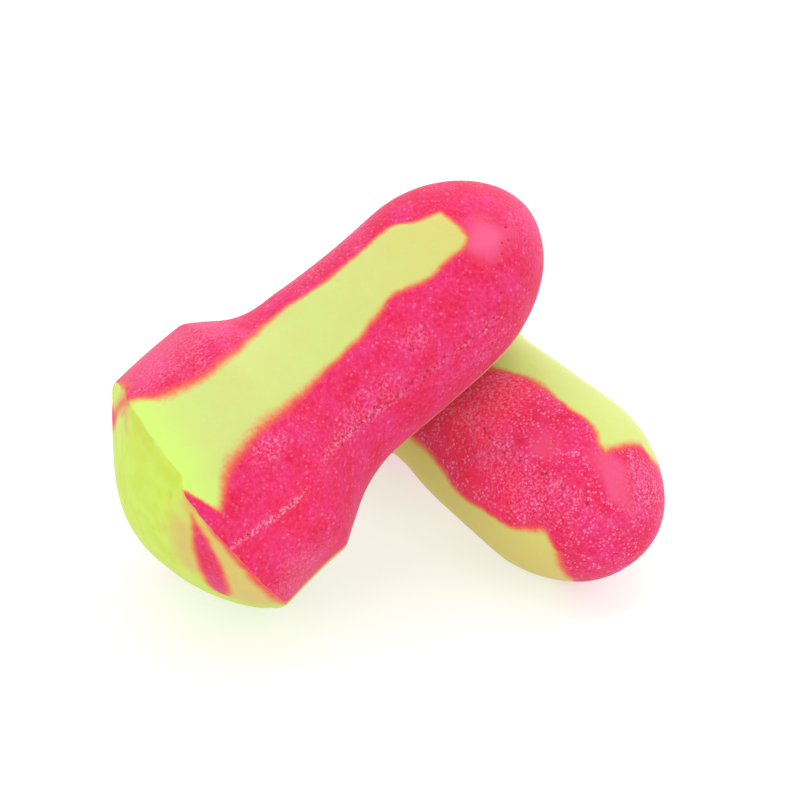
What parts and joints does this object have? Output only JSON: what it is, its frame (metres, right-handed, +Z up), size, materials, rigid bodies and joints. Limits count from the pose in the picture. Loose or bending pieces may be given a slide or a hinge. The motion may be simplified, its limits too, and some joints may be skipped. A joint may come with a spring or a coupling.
{
  "type": "foam ear plugs",
  "caption": "Disposable slow-recovery foam ear plugs, each with a rounded tip and a flange, marbled pink and yellow-green, leaning across each other.",
  "frame": {"origin": "on the surface that the plugs rest on, under the middle of the pair", "axes": "+Z up; +X to the right and +Y away from someone who looks at the pair with the leaning plug in front"},
  "size_m": [0.0294, 0.031, 0.0202],
  "materials": {
    "marbled_foam": "soft matte fine-celled foam, pink with broad yellow-green marbling"
  },
  "bodies": {
    "lying_plug_body": {"lying_plug": "marbled_foam"},
    "leaning_plug_body": {"leaning_plug": "marbled_foam"}
  },
  "joints": [
    {"name": "leaning_plug_lift", "type": "slide", "parent": "lying_plug_body", "child": "leaning_plug_body", "axis": [0, 0, 1], "range_m": [0, 0.02]}
  ]
}
